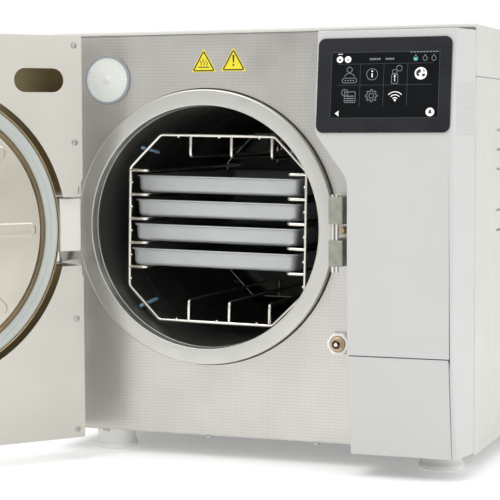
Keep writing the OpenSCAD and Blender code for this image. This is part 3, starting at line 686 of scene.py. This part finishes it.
# Display
def display():
    place = facing("display_bezel", (0, -1, 0))
    place = place @ Matrix.Translation((1.2, 0, 0)) @ Matrix.Scale(1.02, 4, (1, 0, 0))
    soften("display_bezel", 0.6, 3)

    def shown(name, made, ink):
        piece(name, made, "cabinet", "display_glass", place, INK[ink])
    wide, high = 105, 63.5
    screen = bmesh.new()
    prism(screen, [(-wide / 2, -high / 2), (wide / 2, -high / 2), (wide / 2, high / 2),
                   (-wide / 2, high / 2)], 0, -0.03)
    shown("screen_area", screen, "screen")
    lines, bright, teal, faint, dark = (bmesh.new() for _ in range(5))
    box_line(faint, 0, 0, wide, high, 0.35, 0.3)
    top, row, columns = 20.5, 0.0, (-24, -1, 22)
    stroke(faint, [(-46, top), (46, top)], 0.3)
    stroke(faint, [(-46, row), (46, row)], 0.3)
    for x in columns:
        stroke(faint, [(x, top), (x, -20.5)], 0.3)
    # Status row
    for x, size in ((-44.5, 1.2), (-36.5, 0.8)):
        disc(bright, x, 25, 3.2)
        disc(dark, x, 25 - size / 4, size, -RAISED, DARK)
    stroke(bright, [(-46.5, 30.2), (-42, 30.2)], 0.6)
    for x, w in ((-9.5, 11), (4.5, 8)):
        for k in range(ceil(w / 2.2)):
            stroke(lines, [(x - w / 2 + k * 2.2, 25), (x - w / 2 + k * 2.2 + 1.5, 25)], 1.8)
    for x in (29.5, 38.5, 47):
        droplet(lines, x, 25, 2.4)
    disc(teal, 29.5, 24.4, 1.7)
    for k in range(9):
        stroke(lines, [(24 + k * 3.1, 31.2), (26.2 + k * 3.1, 31.2)], 0.9)
    # First row: person with a code, information, data stick, globe
    ring(lines, -34.5, 15, 2.6, 0.5)
    stroke(lines, arc(-34.5, 6.2, 5.4, 20, 160), 0.5)
    box_line(lines, -34.5, 4.6, 14, 4.6, 0.5, 2.0)
    for k in range(4):
        disc(lines, -38.4 + k * 2.6, 4.6, 0.65, steps=12)
    ring(lines, -12.3, 10.3, 5.4, 0.5)
    stroke(bright, [(-12.3, 7.4), (-12.3, 11.4)], 1.1)
    disc(bright, -12.3, 13.3, 0.8)
    box_line(lines, 9.8, 5.6, 6, 9, 0.5, 1.2)
    box_line(lines, 9.8, 12.6, 4.2, 3.6, 0.5, 0.3)
    ring(lines, 14, 15.8, 2.7, 0.5)
    stroke(bright, [(9.8, 3.2), (9.8, 8.4)], 0.6)
    prism(bright, [(8.7, 7.8), (10.9, 7.8), (9.8, 9.6)])
    disc(bright, 34.8, 10.6, 5.9)
    globe(dark, 34.8, 10.6, 5.6)
    # Second row: log, gear, network
    box_line(lines, -33.6, -11.6, 10.6, 10.4, 0.5, 1.0)
    ring(lines, -38.6, -7.2, 3.2, 0.5)
    stroke(lines, [(-38.6, -5.4), (-38.6, -7.2), (-37.2, -7.2)], 0.5)
    for z in (-10.6, -12.8, -15):
        stroke(lines, [(-37.6, z), (-29.8, z)], 0.8)
    gear(lines, -12.4, -10.4, 4.3, 5.9, 8)
    ring(lines, -12.4, -10.4, 2.3, 0.5)
    for radius, width in ((8.6, 0.8), (5.7, 0.8), (3.0, 0.8)):
        stroke(bright, arc(10.6, -15.4, radius, 42, 138), width)
    disc(bright, 10.6, -14.8, 1.1)
    # Bottom row: back arrow and bell
    prism(bright, [(-47.8, -27.3), (-44.2, -24.6), (-44.2, -30)])
    disc(bright, 44.8, -26.4, 4.1)
    shown("screen_frame", faint, "faint")
    shown("screen_lines", lines, "grey")
    shown("screen_symbols", bright, "white")
    shown("screen_fill", teal, "teal")
    prism(dark, [(42.9, -27.8), (46.7, -27.8), (46.1, -26.6), (45.9, -24.8), (44.8, -24), (43.7, -24.8),
                 (43.5, -26.6)], -RAISED, DARK)
    shown("screen_dark_marks", dark, "black")


def droplet(made, x, z, size):
    outline = [(x, z + size * 1.5)] + arc(x, z - 0.2, size * 0.85, 35, -215, 18)
    stroke(made, outline, 0.45, True)


def globe(made, x, z, radius):
    """Made-up lands on a round of sea."""
    lands = (((-0.75, 0.35), (-0.25, 0.8), (0.1, 0.45), (-0.1, 0.1), (-0.4, 0.0), (-0.15, -0.35),
              (-0.5, -0.55), (-0.8, -0.1)),
             ((0.35, 0.75), (0.75, 0.4), (0.5, 0.2)),
             ((0.15, -0.1), (0.85, -0.05), (0.6, -0.6), (0.3, -0.5)))
    for outline in lands:
        prism(made, [(x + a * radius, z + b * radius) for a, b in outline], -RAISED, DARK)


def gear(made, x, z, root, tip, teeth):
    outline = []
    for k in range(teeth):
        for turn, r in ((-0.28, root), (-0.16, tip), (0.16, tip), (0.28, root)):
            a = 2 * pi * (k + turn) / teeth
            outline.append((x + r * cos(a), z + r * sin(a)))
    stroke(made, outline, 0.5, True)


def grille():
    """Sounder holes in the column's side strip."""
    _, high = extent("column_fascia")
    place = facing("column_fascia", (1, -0.17, 0))
    centre = place.inverted() @ (SEAT @ Vector((high.x - 4, -27, 120.5)))
    made = bmesh.new()
    pitch, rows, count = 2.1, 24, 22
    for i in range(rows):
        for k in range(count):
            shift = pitch / 2 if i % 2 else 0
            disc(made, centre.x + (k - count / 2) * pitch + shift, centre.z + (i - rows / 2) * pitch, 0.5,
                 steps=8, high=-0.03)
    piece("sounder_grille", made, "cabinet", "column_plastic", place, INK["hole"])


# Door. The inner plate and the gasket sit in the dish at DISH_FLOOR.
DISH_FLOOR = -15
PLATE_R = 123.4
GASKET_IN, GASKET_OUT = 130, 143.6


def door():
    low, high = extent("door_shell", DOOR)

    def rim(p, d):
        return p.y < low.y + 0.1 and (p.x < low.x + 1 or p.x > high.x - 40
                                      or p.z < low.z + 1 or p.z > high.z - 1)
    # The door's cover takes the lighter enamel copy: painted light.
    soften("door_shell", 0.6, 2, first=[(7, rim)], place=DOOR, look=DOOR_WHITE_LIT)
    soften("door_liner", 0.25, 2, place=DOOR)
    soften("door_arm", 1.6, 3, place=DOOR, look=LOOK["white_plastic"])
    soften("lock_claw", 0.5, place=DOOR)
    disc_low, disc_high = extent("door_disc", DOOR)
    outer, lip, sheet = (disc_high.x - disc_low.x) / 2, disc_high.y, 1.2
    back = rounded_line([(0, -50), (8, -50), (8, -36), (40, -36), (40, -30), (outer, -30), (outer, lip),
                         (outer - sheet, lip), (outer - sheet, DISH_FLOOR), (0, DISH_FLOOR)],
                        [0, 0, 0, 1, 1, 3, 0.4, 0.4, 0.4, 0])
    back = [p for p in back if p[1] >= disc_low.y - 0.01]
    # The dish is painted brown: a painted reflection of the brown heat shield.
    piece("door_dish", lathe(back, 200), "door", "disc_steel", DOOR, BROWN_REFLECTION, replaces=("door_disc",))
    plate_low, plate_high = extent("inner_plate", DOOR)
    edge, face = (plate_high.x - plate_low.x) / 2, plate_high.y
    plate = rounded_line([(0, DISH_FLOOR), (PLATE_R, DISH_FLOOR), (PLATE_R, face), (0, face)],
                         [0, 0, 1.6, 0])
    piece("door_face", lathe(plate, 200), "door", "disc_steel", DOOR, replaces=("inner_plate",))
    # The slope round the face plate takes the same painted brown reflection.
    slope = rounded_line([(PLATE_R, DISH_FLOOR), (edge, DISH_FLOOR), (edge, -12.2), (PLATE_R, face - 0.5)],
                         [0, 0, 0.8, 0.2])
    piece("door_face_edge", lathe(slope, 200), "door", "disc_steel", DOOR, BROWN_REFLECTION)
    ribs(face)
    seal = rounded_line([(GASKET_IN, DISH_FLOOR), (GASKET_OUT, DISH_FLOOR), (GASKET_OUT, -10.4),
                         (141.4, -9.2), (139.2, -9.9), (136.6, -9.9), (133.8, -9.2),
                         (GASKET_IN + 0.4, -11.4), (GASKET_IN, -13)],
                        [0, 0.5, 1, 1, 0.8, 0.8, 1.4, 1.2, 0.5])
    piece("door_seal", lathe(seal, 240), "door", "gasket_silicone", DOOR, replaces=("door_gasket",))
    screws()
    lining(low, high)


def lining(low, high):
    """Brown heat shield laid inside the door's outer cover."""
    sheet_y = low.y + 2.6
    notch_low, notch_high = -41, 35
    outline = [(low.x + 3, low.z + 3), (high.x - 3, low.z + 3), (high.x - 3, 48), (130, 92),
               (130, high.z - 3), (low.x + 3, high.z - 3), (low.x + 3, notch_high), (-134, notch_high),
               (-134, notch_low), (low.x + 3, notch_low)]
    made = bmesh.new()
    prism(made, outline, sheet_y, sheet_y + 0.3)
    for bottom, top in ((notch_high, high.z - 3), (low.z + 3, notch_low)):
        box(made, (low.x + 2.7, sheet_y, bottom), (low.x + 3, high.y - 1.5, top))
    piece("door_heat_shield", made, "door", "disc_steel", DOOR, SHIELD)


def ribs(face):
    """Long ribs pressed outwards in the door's inner plate, each with a fine crease round it."""
    for k in range(8):
        made = bmesh.new()
        turn = Matrix.Rotation(radians(45 * k), 3, "Y")
        loops = []
        for grow, y in ((1.0, face - 0.02), (0.5, face + 0.03), (0, face - 0.05), (-0.7, face + 0.3),
                        (-1.8, face + 0.45), (-3.0, face + 0.42)):
            half = 7.4 + grow
            outline = ([(110.6 + half * cos(radians(a)), half * sin(radians(a))) for a in range(-90, 91, 10)]
                       + [(44 - half * cos(radians(a)), -half * sin(radians(a))) for a in range(-90, 91, 10)])
            loops.append([turn @ Vector((x, y, z)) for x, z in outline])
        skin(made, loops, caps=(False, True))
        piece(f"door_rib_{k + 1}", made, "door", "disc_steel", DOOR, crease=60)


def screws():
    """Pan heads with a socket, over the CAD screws."""
    shafts = bmesh.new()
    for x, z in screw_places():
        head = lathe([(1.5, -5.4), (1.5, -4), (3.4, -4), (3.3, -3.6), (2.8, -3.3), (2.2, -3.15), (1.6, -3.1),
                      (1.5, -3.8), (0, -3.9)], 40, closed=False)
        head.faces.new([head.verts.new((1.5 * cos(2 * pi * i / 12), -5.4, -1.5 * sin(2 * pi * i / 12)))
                        for i in range(12)])
        head.transform(Matrix.Translation((x, 0, z)))
        mesh = bpy.data.meshes.new("head")
        head.to_mesh(mesh)
        head.free()
        shafts.from_mesh(mesh)
        bpy.data.meshes.remove(mesh)
    piece("liner_screw_heads", shafts, "door", "bright_steel", DOOR, HEAD_STEEL,
          replaces=("liner_screws",))


def screw_places():
    """Middles of the CAD screws, by their heads."""
    inverse, places = DOOR.inverted(), []
    for vertex in NODES["liner_screws"].data.vertices:
        p = inverse @ vertex.co
        for place in places:
            if hypot(p.x - place[0][0], p.z - place[0][1]) < 8:
                place.append((p.x, p.z))
                break
        else:
            places.append([(p.x, p.z)])
    return [((min(p[0] for p in g) + max(p[0] for p in g)) / 2,
             (min(p[1] for p in g) + max(p[1] for p in g)) / 2) for g in places]


# Tray rack: the wire's radius, the cut corners, the tray rails and the rails for cassettes
WIRE = 1.9
RACK_CUT = 35
RAIL_LOW, RAIL_STEP, RAIL_TIP = -47.2, 25.8, 79.5
CASSETTE_X = (-30, 16, 61)
CASSETTE_RISE = 22


def rack():
    low, high = extent("rack_frames", RACK)
    left, right, bottom, top = low.x + WIRE, high.x - WIRE, low.z + WIRE, high.z - WIRE
    middle = (bottom + top) / 2
    front, back = low.y + WIRE, high.y - WIRE
    made = bmesh.new()
    for y in (front, back):
        corners = [(left, y, bottom + RACK_CUT), (left, y, top - RACK_CUT), (left + RACK_CUT, y, top),
                   (right - RACK_CUT, y, top), (right, y, top - RACK_CUT), (right, y, bottom + RACK_CUT),
                   (right - RACK_CUT, y, bottom), (left + RACK_CUT, y, bottom)]
        tube(rounded(corners, 7, True), WIRE, 16, True, made)
    piece("rack_hoops", made, "rack", "wire_steel", RACK, replaces=("rack_frames",))
    rails, nubs = bmesh.new(), bmesh.new()
    heights = [RAIL_LOW + RAIL_STEP * i for i in range(5)]
    for side, edge in ((-1, left), (1, right)):
        for z in heights:
            root = edge - side * WIRE * 0.3
            tube(rounded([(root, front, z), (side * RAIL_TIP, front, z), (side * RAIL_TIP, back, z),
                          (root, back, z)], 4), WIRE, 12, made=rails)
        for z in [h + RAIL_STEP / 2 for h in heights[:-1]] + [RAIL_LOW - RAIL_STEP / 2]:
            nub(nubs, (edge - side * 1.5, front, z))
    for x in CASSETTE_X:
        for side, edge in ((-1, bottom), (1, top)):
            tip = middle + side * (top - middle - CASSETTE_RISE)
            root = edge - side * WIRE * 0.3
            tube(rounded([(x, front, root), (x, front, tip), (x, back, tip), (x, back, root)], 4),
                 WIRE, 12, made=rails)
            nub(nubs, (x - 14, front, edge - side * 1.5))
    piece("rack_wires", rails, "rack", "wire_steel", RACK, replaces=("rack_rails",))
    piece("rack_welds", nubs, "rack", "wire_steel", RACK)
    glides(front, back, middle)


def nub(made, at):
    bmesh.ops.create_icosphere(made, subdivisions=2, radius=WIRE, matrix=Matrix.Translation(at))


def glides(front, back, middle):
    """Straight sleeves that lean in across the rack's corners."""
    sleeves = bmesh.new()
    for a in (45, 135, 225, 315):
        for end, way in ((front, 1), (back, -1)):
            out, inner = (Vector((r * cos(radians(a)), y, middle + r * sin(radians(a))))
                          for r, y in ((119.4, end - way * 2), (112.4, end + way * 28)))
            tube([out.lerp(inner, k / 7) for k in range(8)], 2, 16, made=sleeves)
    piece("rack_sleeves", sleeves, "rack", "glide_plastic", RACK, replaces=("rack_glides",))


def trays():
    """Pressed trays: drafted walls, rounded corners and a rolled lip."""
    for k in (1, 2, 3, 4):
        node = f"tray_{k}"
        low, high = extent(node, RACK)
        wide, long = (high.x - low.x) / 2, (high.y - low.y) / 2
        x, y = (low.x + high.x) / 2, (low.y + high.y) / 2
        wall, sheet = 3.0, 1.2

        def loop(inset, z, corner):
            points = []
            for sx, sy, start in ((1, 1, 0), (-1, 1, 90), (-1, -1, 180), (1, -1, 270)):
                cx, cy = x + sx * (wide - inset - corner), y + sy * (long - inset - corner)
                points += [(cx + corner * cos(radians(start + t)), cy + corner * sin(radians(start + t)), z)
                           for t in range(0, 91, 15)]
            return points
        profile = [(wall + 22, low.z, 4)]
        profile += [(wall + 4.5 - 4.5 * sin(radians(t)), low.z + 4.5 - 4.5 * cos(radians(t)), 7)
                    for t in range(0, 91, 15)]
        profile += [(wall - 0.9, high.z - 2.2, 8), (0.9, high.z - 1.9, 9), (0.2, high.z - 1.5, 9),
                    (0.0, high.z - 0.9, 9), (0.2, high.z - 0.3, 9), (0.9, high.z, 9),
                    (1.8, high.z - 0.3, 8), (wall + 0.4, high.z - 1.0, 7), (wall + 1.0, high.z - 2.0, 7)]
        profile += [(wall + sheet + 3.6 - 3.6 * sin(radians(t)),
                     low.z + sheet + 3.6 - 3.6 * cos(radians(t)), 6) for t in range(90, -1, -15)]
        profile += [(wall + 22, low.z + sheet, 4)]
        made = bmesh.new()
        skin(made, [loop(*p) for p in profile], caps=(True, True))
        piece(f"tray_{k}_pan", made, node, "tray_aluminium", RACK, replaces=(node,), crease=60)


def finish_cad_nodes():
    """Materials for the CAD nodes that show as they are."""
    for name, node in NODES.items():
        node.data.materials.clear()
        node.data.materials.append(LOOK[SLOT_OF[name]])


# Stage
def camera():
    """The photo's camera, placed from the chamber's axis in metres."""
    eye = bpy.data.cameras.new("camera")
    eye.lens = 123.3
    eye.sensor_width = 36
    thing = bpy.data.objects.new("camera", eye)
    bpy.context.scene.collection.objects.link(thing)
    thing.location = AXIS + Vector((0.66608, -1.63851, 0.1014))
    turn, down, tilt = radians(20.64), radians(4.05), radians(-0.2)
    thing.rotation_euler = (Matrix.Rotation(turn, 3, "Z") @ Matrix.Rotation(pi / 2 - down, 3, "X")
                            @ Matrix.Rotation(tilt, 3, "Z")).to_euler()
    bpy.context.scene.camera = thing


def softbox(name, at, target, size, power):
    lamp = bpy.data.lights.new(name, "AREA")
    lamp.shape = "RECTANGLE"
    lamp.size, lamp.size_y = size
    lamp.energy = power
    thing = bpy.data.objects.new(name, lamp)
    bpy.context.scene.collection.objects.link(thing)
    thing.location = at
    thing.rotation_euler = (Vector(target) - Vector(at)).to_track_quat("-Z", "Y").to_euler()


def stage():
    floor = bmesh.new()
    bmesh.ops.create_circle(floor, cap_ends=True, segments=96, radius=12)
    mesh = bpy.data.meshes.new("floor")
    floor.to_mesh(mesh)
    floor.free()
    thing = bpy.data.objects.new("floor", mesh)
    bpy.context.scene.collection.objects.link(thing)
    thing.location.z = cad_box[0].z - 0.0002
    pale = material("floor", (0.88, 0.88, 0.88), 0.7, vary=0.005, patch=2, grain=200, depth=0.0,
                    Emission_Color=(1, 1, 1, 1), Emission_Strength=0.22)
    mesh.materials.append(pale)
    softbox("key", (-0.7, -1.5, 2.5), (0, 0, 0.2), (1.8, 1.8), 24)
    softbox("fill", (2.3, -0.5, 1.4), (0.1, 0, 0.2), (1.2, 1.6), 8)
    softbox("top", (0.2, 0.2, 2.6), (0, 0, 0), (2.4, 2.4), 16)
    world = bpy.data.worlds.new("studio")
    bpy.context.scene.world = world
    world.use_nodes = True
    tree = world.node_tree
    sky = tree.nodes["Background"]
    at = tree.nodes.new("ShaderNodeTexCoord").outputs["Generated"]
    # A dim opening between bright walls, ahead of the machine and a little to its left
    ahead = tree.nodes.new("ShaderNodeVectorMath")
    ahead.operation = "DOT_PRODUCT"
    ahead.inputs[1].default_value = Vector((-0.08, -1, 0.1)).normalized()
    link(tree, at, ahead.inputs[0])
    ramp = tree.nodes.new("ShaderNodeValToRGB")
    ramp.color_ramp.interpolation = "EASE"
    stops = ramp.color_ramp.elements
    stops[0].position, stops[0].color = 0.925, (1, 1, 1, 1)
    stops[1].position, stops[1].color = 0.97, (0.25, 0.245, 0.235, 1)
    link(tree, ahead.outputs["Value"], ramp.inputs["Fac"])
    link(tree, ramp.outputs[0], sky.inputs["Color"])
    sky.inputs["Strength"].default_value = 1.0
    bpy.context.scene.view_settings.view_transform = "Standard"


camera()
finish_cad_nodes()
covers()
louvres()
feet()
chamber()
latch()
coupling()
air_filter()
labels()
display()
grille()
door()
rack()
trays()
stage()
